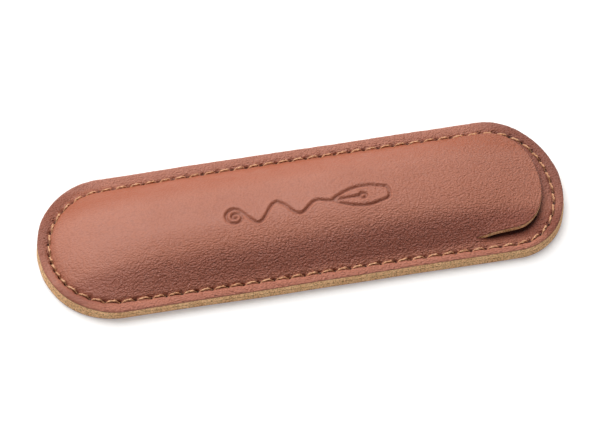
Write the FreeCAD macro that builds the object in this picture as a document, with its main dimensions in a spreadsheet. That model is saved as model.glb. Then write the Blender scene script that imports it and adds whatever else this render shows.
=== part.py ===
import FreeCAD, Part
import math
import os
import Sketcher

# A slip pouch for one pocket fountain pen: a flat back ply and a moulded front ply, both cut to one
# long outline and lockstitched together all the way round. A curved slit in the front ply frees
# the end of its domed tunnel, which is the lip that lifts to let the pen in.
# Frame: +X along the case towards the mouth, +Y across it, +Z up from the face it lies on.
# The origin is the middle of the case, on that face.

SIZES = {
    "case_length": 132.0,  # whole outline, end to end
    "case_width": 45.0,  # whole outline, side to side
    "closed_reach": 18.2,  # how far the half ellipse at the closed end runs along the case
    "mouth_reach": 15.9,  # the same at the mouth end
    "ply": 1.4,  # thickness of each leather ply
    "stitch_margin": 3.1,  # cut edge to stitch line
    "foot_margin": 4.1,  # cut edge to the foot of the dome
    "dome_height": 6.6,  # crown of the dome above the rim, at the middle of the case
    "dome_rise": 0.024,  # the crown gains this much height per mm towards the mouth
    "closed_shoulder": 36.0,  # the crown starts to fall this far from the middle
    "mouth_shoulder": 18.0,  # and this far from the middle towards the mouth
    "wall_inset": 0.85,  # foot of the inner skin, inside the foot of the outer one
    "slit_root": 39.6,  # where both ends of the slit lie along the case
    "slit_root_half": 17.4,  # half width of the lip at its root
    "slit_side_half": 16.9,  # half width of the lip where its round end starts
    "slit_reach": 10.3,  # how far the lip's round end runs along the case
    "lip_overlap": 0.8,  # how far the lip lies over the rim
    "lip_gap": 0.05,  # air under the closed lip
    "thread_width": 0.6,
    "needle_hole": 0.9,
    "stitch_sink": 0.3,  # how deep a tight stitch lies in the front ply
    "stitch_count": 81,
    "flush_gap": 0.05,  # the back stitches stop this far short of the resting face
}
# Superellipse powers of the seam's corners, in the order far closed, far mouth, near mouth, near
# closed: the seam is fuller at one mouth corner.
CORNER_FULLNESS = (2.0, 2.0, 2.4, 2.0)
CORNER_STEPS = 90  # points that draw each corner of the seam
CLOSED_FALL = 0.7  # power that shapes the crown's fall to the closed end
MOUTH_FALL = 0.75  # and to the mouth
POST_SHARE = 0.8  # a thread pulled down a hole is this much slimmer than where it lies flat
END_STATIONS = (0.985, 0.93, 0.8, 0.6, 0.35)  # places round an end, as shares of its reach
LEVEL_STATIONS = (0, 0.25, 0.5, 0.75, 1)  # places between the shoulders, as shares of that length
SLOPE_STATIONS = (0.33, 0.67, 1)  # places from the mouth shoulder to the slit's root

V = FreeCAD.Vector
Constraint = Sketcher.Constraint
doc = FreeCAD.newDocument("PenPouch")


def make_sheet():
    """The driving dimensions, one cell each."""
    sheet = doc.addObject("Spreadsheet::Sheet", "Sizes")
    for row, (alias, value) in enumerate(SIZES.items(), start=1):
        sheet.set(f"A{row}", alias)
        sheet.set(f"B{row}", str(value))
        sheet.setAlias(f"B{row}", alias)
    doc.recompute()
    return sheet


sheet = make_sheet()


def size(expression):
    """The number that an expression of the sheet's cells gives."""
    return float(sheet.evalExpression(expression))


# Expressions that several sub-parts share.
RIM_TOP = "2 * Sizes.ply"
HALF_WIDTH = "Sizes.case_width / 2"
CLOSED_CENTRE = "(Sizes.case_length / 2 - Sizes.closed_reach)"
MOUTH_CENTRE = "(Sizes.case_length / 2 - Sizes.mouth_reach)"


def new_body(name):
    return doc.addObject("PartDesign::Body", name)


def sketch_on(body, name, role, along="0", up="0"):
    """A sketch on one of the body's origin planes, moved along that plane's normal and up it."""
    sketch = body.newObject("Sketcher::SketchObject", name)
    plane = next(f for f in body.Origin.OriginFeatures if f.Role == role)
    sketch.AttachmentSupport = [(plane, "")]
    sketch.MapMode = "FlatFace"
    sketch.setExpression("AttachmentOffset.Base.z", along)
    sketch.setExpression("AttachmentOffset.Base.y", up)
    return sketch


def drive(sketch, constraint, expression):
    """Adds a constraint whose value follows an expression."""
    index = sketch.addConstraint(constraint)
    sketch.setExpression(f"Constraints[{index}]", expression)


def add_end_arc(sketch, side, centre, reach, half):
    """Half an ellipse that closes one end of an outline. side is -1 or 1 along X."""
    cx = side * size(centre)
    r = size(reach)
    h = size(half)
    if h > r:
        ellipse = Part.Ellipse(V(cx, h, 0), V(cx - r, 0, 0), V(cx, 0, 0))
        first = 0 if side < 0 else math.pi
    else:
        ellipse = Part.Ellipse(V(cx + r, 0, 0), V(cx, h, 0), V(cx, 0, 0))
        first = math.pi / 2 if side < 0 else -math.pi / 2
    arc = sketch.addGeometry(Part.ArcOfEllipse(ellipse, first, first + math.pi))
    axis = len(sketch.Geometry)
    sketch.exposeInternalGeometry(arc)
    across, along = (axis, axis + 1) if h > r else (axis + 1, axis)
    sketch.addConstraint(Constraint("PointOnObject", arc, 3, -1))
    if side < 0:
        drive(sketch, Constraint("DistanceX", arc, 3, -1, 1, -cx), centre)
    else:
        drive(sketch, Constraint("DistanceX", -1, 1, arc, 3, cx), centre)
    sketch.addConstraint(Constraint("Vertical", across))
    sketch.addConstraint(Constraint("PointOnObject", arc, 1, across))
    sketch.addConstraint(Constraint("PointOnObject", arc, 2, across))
    drive(sketch, Constraint("Distance", across, 2 * h), f"2 * ({half})")
    drive(sketch, Constraint("Distance", along, 2 * r), f"2 * ({reach})")
    return arc


def draw_outline(sketch):
    """The cut outline of a ply: straight sides and a half ellipse at each end."""
    left = add_end_arc(sketch, -1, CLOSED_CENTRE, "Sizes.closed_reach", HALF_WIDTH)
    right = add_end_arc(sketch, 1, MOUTH_CENTRE, "Sizes.mouth_reach", HALF_WIDTH)
    x0 = -size(CLOSED_CENTRE)
    x1 = size(MOUTH_CENTRE)
    h = size(HALF_WIDTH)
    far = sketch.addGeometry(Part.LineSegment(V(x0, h, 0), V(x1, h, 0)))
    near = sketch.addGeometry(Part.LineSegment(V(x0, -h, 0), V(x1, -h, 0)))
    sketch.addConstraint(Constraint("Coincident", left, 1, far, 1))
    sketch.addConstraint(Constraint("Coincident", right, 2, far, 2))
    sketch.addConstraint(Constraint("Coincident", left, 2, near, 1))
    sketch.addConstraint(Constraint("Coincident", right, 1, near, 2))


def draw_tongue(sketch, inset):
    """The lip's outline seen from above: nearly straight sides and a round end, closed at the root."""
    centre = MOUTH_CENTRE
    side = f"Sizes.slit_side_half - {inset}"
    root = f"Sizes.slit_root_half - {inset}"
    tip = add_end_arc(sketch, 1, centre, f"Sizes.slit_reach - {inset}", side)
    x0 = size("Sizes.slit_root")
    x1 = size(centre)
    w0 = size(root)
    w1 = size(side)
    far = sketch.addGeometry(Part.LineSegment(V(x0, w0, 0), V(x1, w1, 0)))
    near = sketch.addGeometry(Part.LineSegment(V(x0, -w0, 0), V(x1, -w1, 0)))
    back = sketch.addGeometry(Part.LineSegment(V(x0, w0, 0), V(x0, -w0, 0)))
    sketch.addConstraint(Constraint("Coincident", tip, 2, far, 2))
    sketch.addConstraint(Constraint("Coincident", tip, 1, near, 2))
    sketch.addConstraint(Constraint("Coincident", back, 1, far, 1))
    sketch.addConstraint(Constraint("Coincident", back, 2, near, 1))
    sketch.addConstraint(Constraint("Symmetric", back, 1, back, 2, -1))
    drive(sketch, Constraint("DistanceX", -1, 1, back, 1, x0), "Sizes.slit_root")
    drive(sketch, Constraint("DistanceY", back, 2, back, 1, 2 * w0), f"2 * ({root})")


def foot_tip(centre, reach, inset):
    """How far from the middle the dome's foot ends."""
    return f"({centre} + {reach} - Sizes.foot_margin - {inset})"


def crown_level(place):
    """The crown's height at a place along the case, before it falls to either end."""
    return f"(Sizes.dome_height + Sizes.dome_rise * ({place}))"


def crown_fall(distance, shoulder, tip, power):
    """The share of its height that the crown keeps this far from the middle, past the shoulder."""
    return f"(1 - (({distance} - {shoulder}) / ({tip} - {shoulder})) ^ 2) ^ {power}"


def dome_stations(inset):
    """Each station along the dome as expressions: its place, half width and crown height."""
    full = f"({HALF_WIDTH} - Sizes.foot_margin - {inset})"
    closed_tip = foot_tip(CLOSED_CENTRE, "Sizes.closed_reach", inset)
    mouth_tip = foot_tip(MOUTH_CENTRE, "Sizes.mouth_reach", inset)

    def closed(distance, half):
        place = f"-({distance})"
        fall = crown_fall(distance, "Sizes.closed_shoulder", closed_tip, CLOSED_FALL)
        return place, half, f"{crown_level(place)} * {fall}"

    def mouth(distance, half):
        fall = crown_fall(distance, "Sizes.mouth_shoulder", mouth_tip, MOUTH_FALL)
        return distance, half, f"{crown_level(distance)} * {fall}"

    pouch = []
    for share in END_STATIONS:
        distance = f"({CLOSED_CENTRE} + {share} * ({closed_tip} - {CLOSED_CENTRE}))"
        pouch.append(closed(distance, f"{full} * sqrt(1 - {share} ^ 2)"))
    pouch.append(closed(CLOSED_CENTRE, full))
    pouch.append(closed(f"({CLOSED_CENTRE} + Sizes.closed_shoulder) / 2", full))
    for share in LEVEL_STATIONS:
        place = f"-Sizes.closed_shoulder + {share} * (Sizes.closed_shoulder + Sizes.mouth_shoulder)"
        pouch.append((place, full, crown_level(place)))
    for share in SLOPE_STATIONS:
        distance = f"(Sizes.mouth_shoulder + {share} * (Sizes.slit_root - Sizes.mouth_shoulder))"
        pouch.append(mouth(distance, full))

    lip = [mouth("Sizes.slit_root", full)]
    lip.append(mouth(f"(Sizes.slit_root + {MOUTH_CENTRE}) / 2", full))
    lip.append(mouth(MOUTH_CENTRE, full))
    for share in reversed(END_STATIONS):
        distance = f"({MOUTH_CENTRE} + {share} * ({mouth_tip} - {MOUTH_CENTRE}))"
        lip.append(mouth(distance, f"{full} * sqrt(1 - {share} ^ 2)"))
    return pouch, lip


def section_sketch(body, name, place, half, crown, base):
    """One cross-section of the dome: an arc that stands on its chord."""
    sketch = sketch_on(body, name, "YZ_Plane", along=place, up=base)
    w = size(half)
    c = size(crown)
    radius = f"(({half}) ^ 2 + ({crown}) ^ 2) / (2 * ({crown}))"
    arc = sketch.addGeometry(Part.Arc(V(w, 0, 0), V(0, c, 0), V(-w, 0, 0)))
    chord = sketch.addGeometry(Part.LineSegment(V(-w, 0, 0), V(w, 0, 0)))
    sketch.addConstraint(Constraint("Coincident", arc, 1, chord, 2))
    sketch.addConstraint(Constraint("Coincident", arc, 2, chord, 1))
    sketch.addConstraint(Constraint("PointOnObject", chord, 1, -1))
    sketch.addConstraint(Constraint("Symmetric", chord, 1, chord, 2, -2))
    drive(sketch, Constraint("DistanceX", -1, 1, chord, 2, w), half)
    drive(sketch, Constraint("Radius", arc, size(radius)), radius)
    return sketch


def add_loft(body, kind, name, stations, base):
    """A loft through the dome's sections, which adds or cuts."""
    sketches = []
    for number, (place, half, crown) in enumerate(stations):
        sketches.append(section_sketch(body, f"{name}{number:02d}", place, half, crown, base))
    doc.recompute()
    loft = body.newObject(kind, name)
    loft.Profile = sketches[0]
    loft.Sections = [(sketch, [""]) for sketch in sketches[1:]]
    loft.Ruled = False
    doc.recompute()
    return loft


def make_plate(name, underside):
    """A flat ply of the full outline."""
    body = new_body(name)
    sketch = sketch_on(body, f"{name}Outline", "XY_Plane", along=underside)
    draw_outline(sketch)
    pad = body.newObject("PartDesign::Pad", f"{name}Pad")
    pad.Profile = sketch
    pad.setExpression("Length", "Sizes.ply")
    doc.recompute()
    return body


def make_front():
    """The moulded front ply: a flat rim round a hollow dome, open at the mouth."""
    body = make_plate("FrontPly", "Sizes.ply")
    outer, _ = dome_stations("0")
    inner, _ = dome_stations("Sizes.wall_inset")
    add_loft(body, "PartDesign::AdditiveLoft", "DomeSkin", outer, RIM_TOP)
    before = body.Shape.Volume
    add_loft(body, "PartDesign::SubtractiveLoft", "PenTunnel", inner, "Sizes.ply")
    assert body.Shape.Volume < before, "the tunnel cuts nothing"
    before = body.Shape.Volume
    window = sketch_on(body, "MouthWindowOutline", "XY_Plane", along=RIM_TOP)
    draw_tongue(window, "Sizes.lip_overlap")
    pocket = body.newObject("PartDesign::Pocket", "MouthWindow")
    pocket.Profile = window
    pocket.setExpression("Length", "Sizes.ply")
    doc.recompute()
    assert body.Shape.Volume < before, "the mouth window cuts nothing"
    return body


def make_lip():
    """The free end of the dome, trimmed to the slit and clear of the rim below it."""
    skin = new_body("LipSkin")
    _, outer = dome_stations("0")
    _, inner = dome_stations("Sizes.wall_inset")
    add_loft(skin, "PartDesign::AdditiveLoft", "LipTop", outer, RIM_TOP)
    before = skin.Shape.Volume
    add_loft(skin, "PartDesign::SubtractiveLoft", "LipHollow", inner, "Sizes.ply")
    assert skin.Shape.Volume < before, "the lip's hollow cuts nothing"

    tongue = new_body("LipTongue")
    sketch = sketch_on(tongue, "LipOutline", "XY_Plane", along=f"{RIM_TOP} + Sizes.lip_gap")
    draw_tongue(sketch, "0")
    pad = tongue.newObject("PartDesign::Pad", "LipTonguePad")
    pad.Profile = sketch
    pad.setExpression("Length", "2 * Sizes.dome_height")
    doc.recompute()

    lip = doc.addObject("Part::MultiCommon", "MouthLip")
    lip.Shapes = [skin, tongue]
    doc.recompute()
    return lip


def seam_outline():
    """Closely spaced points round the seam, from the closed end over the far side and back."""
    margin = size("Sizes.stitch_margin")
    half = size(HALF_WIDTH) - margin
    ends = (
        (-1, 1, size(CLOSED_CENTRE), size("Sizes.closed_reach") - margin),
        (1, 1, size(MOUTH_CENTRE), size("Sizes.mouth_reach") - margin),
        (1, -1, size(MOUTH_CENTRE), size("Sizes.mouth_reach") - margin),
        (-1, -1, size(CLOSED_CENTRE), size("Sizes.closed_reach") - margin),
    )
    points = []
    for number, (side, across, centre, reach) in enumerate(ends):
        power = 2 / CORNER_FULLNESS[number]
        for step in range(CORNER_STEPS + 1):
            turn = math.pi / 2 * step / CORNER_STEPS
            if number % 2:
                turn = math.pi / 2 - turn
            x = side * (centre + reach * math.cos(turn) ** power)
            y = across * half * math.sin(turn) ** power
            points.append(V(x, y, 0))
    return points


def needle_points():
    """The needle holes, evenly spaced round the seam."""
    outline = seam_outline()
    closed = outline + outline[:1]
    lengths = [(b - a).Length for a, b in zip(closed, closed[1:])]
    pitch = sum(lengths) / round(size("Sizes.stitch_count"))
    holes = []
    travelled = 0.0
    for start, end, length in zip(closed, closed[1:], lengths):
        while len(holes) * pitch < travelled + length - 1e-9:
            share = (len(holes) * pitch - travelled) / length
            holes.append(start + (end - start) * share)
        travelled += length
    return holes


def run_between(start, end, width, low, high):
    """A straight bar of thread from one hole to the next."""
    along = end - start
    bar = Part.makeBox(along.Length, width, high - low, V(0, -width / 2, 0))
    bar.rotate(V(0, 0, 0), V(0, 0, 1), math.degrees(math.atan2(along.y, along.x)))
    bar.translate(V(start.x, start.y, low))
    return bar


def stitch_ring(holes, width, run_low, run_high, post_low, post_high):
    """A closed line of stitches: a bar between each two holes and a slimmer post in each hole."""
    bars = [run_between(a, b, width, run_low, run_high) for a, b in zip(holes, holes[1:] + holes[:1])]
    radius = POST_SHARE * width / 2
    posts = [Part.makeCylinder(radius, post_high - post_low, V(hole.x, hole.y, post_low)) for hole in holes]
    ring = bars[0].multiFuse(bars[1:])
    return ring.multiFuse(posts)


def add_shape(name, shape):
    feature = doc.addObject("Part::Feature", name)
    feature.Shape = shape
    feature.Placement = FreeCAD.Placement()
    return feature


def cut(name, base, tool):
    result = doc.addObject("Part::Cut", name)
    result.Base = base
    result.Tool = tool
    doc.recompute()
    return result


def make_threads_and_channels():
    """Both threads, and the holes and seats they press into the two plies."""
    holes = needle_points()
    ply = size("Sizes.ply")
    rim = size(RIM_TOP)
    thread = size("Sizes.thread_width")
    hole = size("Sizes.needle_hole")
    seat = rim - size("Sizes.stitch_sink")
    flush = size("Sizes.flush_gap")
    needle = add_shape("NeedleThread", stitch_ring(holes, thread, seat, seat + thread, ply, seat + thread))
    bobbin = add_shape("BobbinThread", stitch_ring(holes, thread, flush, flush + thread, flush, ply))
    front_channel = add_shape("FrontChannel", stitch_ring(holes, hole, seat, rim + ply, 0, rim + ply))
    back_channel = add_shape("BackChannel", stitch_ring(holes, hole, -ply, flush + thread, -ply, rim))
    return needle, bobbin, front_channel, back_channel


def solid_problem(shape):
    """Why a shape can't be a sub-part, or an empty string."""
    if shape.isNull() or not shape.isValid():
        return "null or not valid"
    if shape.ShapeType not in ("Solid", "Compound", "CompSolid") or not shape.Solids:
        return "holds no solid"
    return ""


def main():
    back_ply = make_plate("BackPly", "0")
    front_ply = make_front()
    lip = make_lip()
    needle, bobbin, front_channel, back_channel = make_threads_and_channels()
    subparts = {
        "back_panel": cut("BackPanel", back_ply, back_channel),
        "front_panel": cut("FrontPanel", front_ply, front_channel),
        "mouth_lip": lip,
        "needle_thread": needle,
        "bobbin_thread": bobbin,
    }
    doc.recompute()
    for item in doc.Objects:
        if "Invalid" in item.State or "Error" in item.State:
            raise RuntimeError(f"{item.Name} failed: {item.State}")
    os.makedirs("parts", exist_ok=True)
    for name, item in subparts.items():
        item.Label = name
        problem = solid_problem(item.Shape)
        if problem:
            raise RuntimeError(f"{name}: {problem}")
    for name, item in subparts.items():
        item.Shape.exportStep(f"parts/{name}.step")
        box = item.Shape.BoundBox
        print(f"{name}: {len(item.Shape.Solids)} solid, {item.Shape.Volume:.1f} mm3,",
              f"x {box.XMin:.2f} {box.XMax:.2f}, y {box.YMin:.2f} {box.YMax:.2f},",
              f"z {box.ZMin:.2f} {box.ZMax:.2f}")


main()
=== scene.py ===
import math

import bpy
import numpy as np
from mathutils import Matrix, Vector, kdtree, noise


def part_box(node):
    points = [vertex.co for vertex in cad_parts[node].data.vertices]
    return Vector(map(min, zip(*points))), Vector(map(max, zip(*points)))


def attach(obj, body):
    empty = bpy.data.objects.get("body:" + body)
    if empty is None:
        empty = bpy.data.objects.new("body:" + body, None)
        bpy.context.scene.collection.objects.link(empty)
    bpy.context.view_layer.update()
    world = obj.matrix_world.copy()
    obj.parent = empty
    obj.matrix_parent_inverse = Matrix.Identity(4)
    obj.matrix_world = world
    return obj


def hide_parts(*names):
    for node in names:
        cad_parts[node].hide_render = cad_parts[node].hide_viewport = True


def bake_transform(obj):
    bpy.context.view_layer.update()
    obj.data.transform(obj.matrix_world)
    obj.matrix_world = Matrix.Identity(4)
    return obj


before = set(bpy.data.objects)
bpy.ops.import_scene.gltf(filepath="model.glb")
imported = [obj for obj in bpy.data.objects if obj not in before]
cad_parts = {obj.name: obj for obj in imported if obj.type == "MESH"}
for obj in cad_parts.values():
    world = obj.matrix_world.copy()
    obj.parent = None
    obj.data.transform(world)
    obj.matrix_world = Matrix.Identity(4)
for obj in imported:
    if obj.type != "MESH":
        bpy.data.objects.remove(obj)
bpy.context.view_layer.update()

# A moulded leather slip case. Lengths in this script are in millimetres until a mesh is made.
MM = 0.001

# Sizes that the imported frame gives.
case_low, case_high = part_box("back_panel")
HALF_LENGTH = case_high.x / MM
HALF_WIDTH = case_high.y / MM
PLY = case_high.z / MM
RIM_TOP = 2 * PLY
LIP_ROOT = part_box("mouth_lip")[0].x / MM
LIP_ROOT_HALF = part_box("mouth_lip")[1].y / MM
LIP_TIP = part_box("mouth_lip")[1].x / MM

# The outline, as in the CAD model: how far its two rounded ends reach past their centres.
CLOSED_REACH = 18.2
MOUTH_REACH = 15.9
CLOSED_CENTRE = HALF_LENGTH - CLOSED_REACH
MOUTH_CENTRE = HALF_LENGTH - MOUTH_REACH

# The dome.
FOOT_MARGIN = 4.1  # from the cut edge in to the dome's foot
FAR_FOOT_MARGIN = 4.7  # on the far side the dome's foot keeps clear of the seam
FOOT_BLEND = 2.0  # how softly the dome runs into the rim
CROWN = 6.6  # the crown's height over the rim at the middle of the case
CROWN_RISE = 0.024  # and what it gains per millimetre towards the mouth
SECTION_POWER = 2.7  # a broad crown and steep flanks
CLOSED_SHOULDER = 36.0  # this far from the middle the crown starts to fall, on either side
MOUTH_SHOULDER = 18.0
CLOSED_FALL = 0.7  # powers of that fall: a lower one gives a blunter end
MOUTH_FALL = 0.75
SWAY = 0.16
SLANTING_SWAY = 0.10
SWAY_FULL_RISE = 5.0  # the unevenness of moulding is full where the dome is this high

# The free lip and the rim beside it.
LIP_SIDE_HALF = 16.9
LIP_REACH = LIP_TIP - MOUTH_CENTRE
LIP_CORNER = 2.3  # superellipse powers: the far corners are fuller than an ellipse
SEAM_CORNER_FAR = 2.2
SEAM_CORNER_NEAR = 2.05
LIP_SWING = 0.2  # how far the lip leans to the far side
LIP_STEP = 1.5  # how high the lip's edge rides over the rim
LIP_STEP_END = 46.0  # the slit's step grows to its full height by here
LIP_FAR_LOWER = 0.32  # the share by which the step is lower along the far side
LIP_CURL = 0.35  # how far the near corner curls up
LIP_CLEAR = 45.0  # from here on the lip lies over the rim
LIP_GAP = 0.06
LIP_SKIVED = 0.38  # how much thinner the leather is pared at the lip's edge
LIP_OVERLAP = 1.2
VALLEY_LENGTH = 4.4  # past the slit's root, the rim inside the seam sinks flat over this length

# The seam wanders as it was sewn by hand: its half width and middle differ at the two ends.
SEAM_HALF = 19.36
SEAM_HALF_CLOSED = 18.6
SEAM_HALF_MOUTH = 19.45
SEAM_MIDDLE = -0.31
SEAM_DRIFT_CLOSED = -0.29
SEAM_DRIFT_MOUTH = -0.59
SEAM_CLOSED_REACH = 15.4
SEAM_MOUTH_REACH = 13.2
STITCHES = 81
RESTART_STITCHES = 4  # where the seam starts over itself its stitches are short
RESTART_SHARE = 0.7
PIT_LENGTH = 0.58  # the slit that the needle's blade leaves, along the seam and across it
PIT_WIDTH = 0.32
PIT_OFFSET = 0.10  # how far it lies behind its hole and outside the thread
PIT_LEAN = 0.12
STITCH_LEAN = 0.25  # how far a stitch leans across the seam at each end
STITCH_BULGE = 0.12  # how far its middle stands over its ends
STRAND = 0.195  # radius of one of a thread's two strands
TWIST_RADIUS = 0.12
TWIST_LENGTH = 2.6  # the strands go once round each other in this length
THREAD_DEPTH = 0.75  # how deep a stitch's ends go into the holes
THREAD_SUNK = 0.20  # how far the seam draws the front thread down
THREAD_RECESS = 0.52  # and how far it draws the back thread up from the table

# The ornament, pressed into the crown: a nib, and the ink line that leaves its tip.
ORNAMENT_MIDDLE = -3.0
NIB_TIP = 7.0
NIB_LENGTH = 14.0
NIB_HALF = 3.1
NIB_EYE = 0.8
INK_LENGTH = 24.2
INK_SWING = 2.7
STROKE_DEPTH = 0.52
STROKE_SWELL = 0.06
# How much shade is painted into the pressed strokes.
STROKE_DARKNESS = 0.55

WRINKLE = 0.04  # height of the low wrinkles along the feet of the dome

# The rim and the cut edge.
RIM_SWELL = 0.17  # how far the rim swells between seam and cut edge
RIM_PEBBLES = 0.065
RIM_WAVES = 0.04
BACK_WAVES = 0.015
CUT_SHARE = 0.12  # the outer share of the rim that the cut has pressed down
CUT_FALL = 0.10  # and how far down
SLIM_FALL = 0.16  # and how much further where the edge is slimmer
BACK_FALL = 0.08
SLIM_LEAN = 0.30  # on its way down the slimmer edge leans in this far
CLOSED_LEAN = 0.40  # and the edge at the closed end leans out
CLOSED_INSET = 0.15  # from a line this far in
MOUTH_LEAN = 0.25  # and so does the edge on the mouth's near side
SLIMMER_START = 5.0  # towards the closed end the pressed edge is slimmer, from here
SLIMMER_FULL = 45.0  # to here

# How finely leather and thread are meshed, and how the faces are kept apart and joined.
COLUMN_STEP = 0.36
ORNAMENT_STEP = 0.2
ORNAMENT_SPAN = (-23.0, 23.0)
SLIT_COLUMNS = 32
END_COLUMNS = 130
DOME_ROWS = 62
BAND_ROWS = 10
RIM_ROWS = 15
INNER_ROWS = 12
WALL_ROWS = 6
STITCH_STEPS = 22
STRAND_SIDES = 8
PLY_SLACK = 0.05  # the front ply is drawn thinner by this, to keep faces apart
GLUE_GAP = 0.02
UNDER_GAP = 0.03
WELD_STEP = 0.004
SAME_PLACE = 2e-6  # metres


# ---------------------------------------------------------------- outline and height of the leather

def smoothstep(value, low, high):
    """0 up to low, 1 from high on, and a smooth rise between."""
    share = np.clip((value - low) / (high - low), 0.0, 1.0)
    return share * share * (3 - 2 * share)


def soft_max(a, b, width):
    """The larger of the two, with the corner where they cross rounded over a width."""
    overlap = np.clip(width - np.abs(a - b), 0.0, None) / width
    return np.maximum(a, b) + overlap * overlap * width / 4


def side_places():
    """Where the mesh's columns stand along a side, closer together beside the ornament."""
    parts = []
    for start, end, step in (
        (-CLOSED_CENTRE, ORNAMENT_SPAN[0], COLUMN_STEP),
        (ORNAMENT_SPAN[0], ORNAMENT_SPAN[1], ORNAMENT_STEP),
        (ORNAMENT_SPAN[1], LIP_ROOT, COLUMN_STEP),
    ):
        parts.append(np.linspace(start, end, round((end - start) / step), endpoint=False))
    return np.concatenate(parts)


SIDE = side_places()
SIDE_COLUMNS = len(SIDE)


def make_columns():
    """The mesh's columns round the case: near side, mouth end, far side, closed end."""
    slit = np.linspace(LIP_ROOT, MOUTH_CENTRE, SLIT_COLUMNS, endpoint=False)
    near = np.concatenate((SIDE, slit))
    far = np.concatenate((near, [MOUTH_CENTRE]))[:0:-1]
    mouth = np.linspace(-math.pi / 2, math.pi / 2, END_COLUMNS, endpoint=False)
    closed = np.linspace(math.pi / 2, 3 * math.pi / 2, END_COLUMNS, endpoint=False)
    mouth_x = np.full(END_COLUMNS, MOUTH_CENTRE)
    closed_x = np.full(END_COLUMNS, -CLOSED_CENTRE)
    near_turn = np.full(len(near), -math.pi / 2)
    far_turn = np.full(len(far), math.pi / 2)
    x = np.concatenate((near, mouth_x, far, closed_x))
    turn = np.concatenate((near_turn, mouth, far_turn, closed))
    return x, turn


COLUMN_X, COLUMN_TURN = make_columns()
COLUMNS = len(COLUMN_X)
FIRST_LIP_COLUMN = SIDE_COLUMNS  # the column at the slit's root on the near side
LAST_LIP_COLUMN = SIDE_COLUMNS + 2 * SLIT_COLUMNS + END_COLUMNS  # and on the far side
LIP_COLUMNS = np.arange(FIRST_LIP_COLUMN, LAST_LIP_COLUMN + 1)
BODY_COLUMNS = np.arange(LAST_LIP_COLUMN, COLUMNS + FIRST_LIP_COLUMN + 1) % COLUMNS


def ring(half, closed_reach, mouth_reach, far_power=2.0, near_power=2.0, middle=0.0):
    """A closed curve round the case, one point for each column. half and middle may differ by
    column, and the powers make the two mouth corners fuller than an ellipse."""
    cos = np.cos(COLUMN_TURN)
    sin = np.sin(COLUMN_TURN)
    power = np.where(COLUMN_X > 0, 2 / np.where(sin < 0, near_power, far_power), 1.0)
    reach = np.where(COLUMN_X > 0, mouth_reach, closed_reach)
    along = np.sign(cos) * np.abs(np.where(np.abs(cos) < 1e-9, 0, cos)) ** power
    across = np.sign(sin) * np.abs(sin) ** power
    return np.stack((COLUMN_X + reach * along, half * across + middle), axis=1)


def slit_ring(inset):
    """The slit's line, which bounds the lip. Round the closed end it runs on inside the seam."""
    share = np.clip((COLUMN_X - LIP_ROOT) / (MOUTH_CENTRE - LIP_ROOT), 0, 1)
    half = LIP_ROOT_HALF + share * (LIP_SIDE_HALF - LIP_ROOT_HALF) - inset
    closed_reach = SEAM_CLOSED_REACH - (SEAM_HALF - LIP_ROOT_HALF)
    mouth_reach = LIP_REACH - np.max(inset)
    return ring(half, closed_reach, mouth_reach, LIP_CORNER, 2.0, LIP_SWING * share)


def seam_ring():
    """The line of the needle holes."""
    to_closed = np.clip(-COLUMN_X / CLOSED_CENTRE, 0, 1) ** 2
    to_mouth = np.clip(COLUMN_X / MOUTH_CENTRE, 0, 1) ** 2
    closed_change = SEAM_HALF_CLOSED - SEAM_HALF
    mouth_change = SEAM_HALF_MOUTH - SEAM_HALF
    half = SEAM_HALF + closed_change * to_closed + mouth_change * to_mouth
    middle = SEAM_DRIFT_CLOSED * to_closed + SEAM_DRIFT_MOUTH * to_mouth + SEAM_MIDDLE
    reaches = (SEAM_CLOSED_REACH, SEAM_MOUTH_REACH)
    return ring(half, *reaches, SEAM_CORNER_FAR, SEAM_CORNER_NEAR, middle)


def outward(curve):
    """Unit directions out of a closed curve that runs anticlockwise."""
    along = np.roll(curve, -1, axis=0) - np.roll(curve, 1, axis=0)
    out = np.stack((along[:, 1], -along[:, 0]), axis=1)
    return out / np.linalg.norm(out, axis=1, keepdims=True)


SPINE = np.stack((COLUMN_X, np.zeros(COLUMNS)), axis=1)
EDGE = ring(HALF_WIDTH, CLOSED_REACH, MOUTH_REACH)
EDGE_OUT = outward(EDGE)
SEAM = seam_ring()
SLIT = slit_ring(np.zeros(COLUMNS))
BAND = np.linalg.norm(SEAM - SLIT, axis=1)
SLIMMER = smoothstep(-COLUMN_X, SLIMMER_START, SLIMMER_FULL)


def dome_height(x, y):
    """Height of the dome's skin over the rim. Outside its foot the value is negative."""
    full = HALF_WIDTH - np.where(y > 0, FAR_FOOT_MARGIN, FOOT_MARGIN)
    closed_reach = CLOSED_REACH - FOOT_MARGIN
    mouth_reach = MOUTH_REACH - FOOT_MARGIN
    share = np.maximum((-x - CLOSED_CENTRE) / closed_reach, (x - MOUTH_CENTRE) / mouth_reach)
    share = np.clip(share, 0, None)
    half = full * np.sqrt(np.clip(1 - share ** 2, 1e-4, 1))
    closed_fall = (-x - CLOSED_SHOULDER) / (CLOSED_CENTRE + closed_reach - CLOSED_SHOULDER)
    mouth_fall = (x - MOUTH_SHOULDER) / (MOUTH_CENTRE + mouth_reach - MOUTH_SHOULDER)
    fall = np.clip(np.maximum(closed_fall, mouth_fall), 0, 1)
    power = np.where(x < 0, CLOSED_FALL, MOUTH_FALL)
    crown = (CROWN + CROWN_RISE * x) * np.clip(1 - fall ** 2, 1e-5, 1) ** power
    section = crown * (1 - np.clip(np.abs(y) / half, 0, 1) ** SECTION_POWER)
    outside = np.sqrt((y / full) ** 2 + share ** 2) - 1
    return np.where(outside > 0, -full * outside, np.maximum(section, 0))


def sway(x, y, rise):
    """The slow unevenness of hand moulding, which fades out at the dome's foot."""
    lengthwise = SWAY * np.sin(x * 0.083 + 0.6) * np.cos(y * 0.12 - 0.4)
    slanting = SLANTING_SWAY * np.sin(x * 0.19 + y * 0.07)
    return (lengthwise + slanting) * np.clip(rise / SWAY_FULL_RISE, 0, 1)


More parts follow.
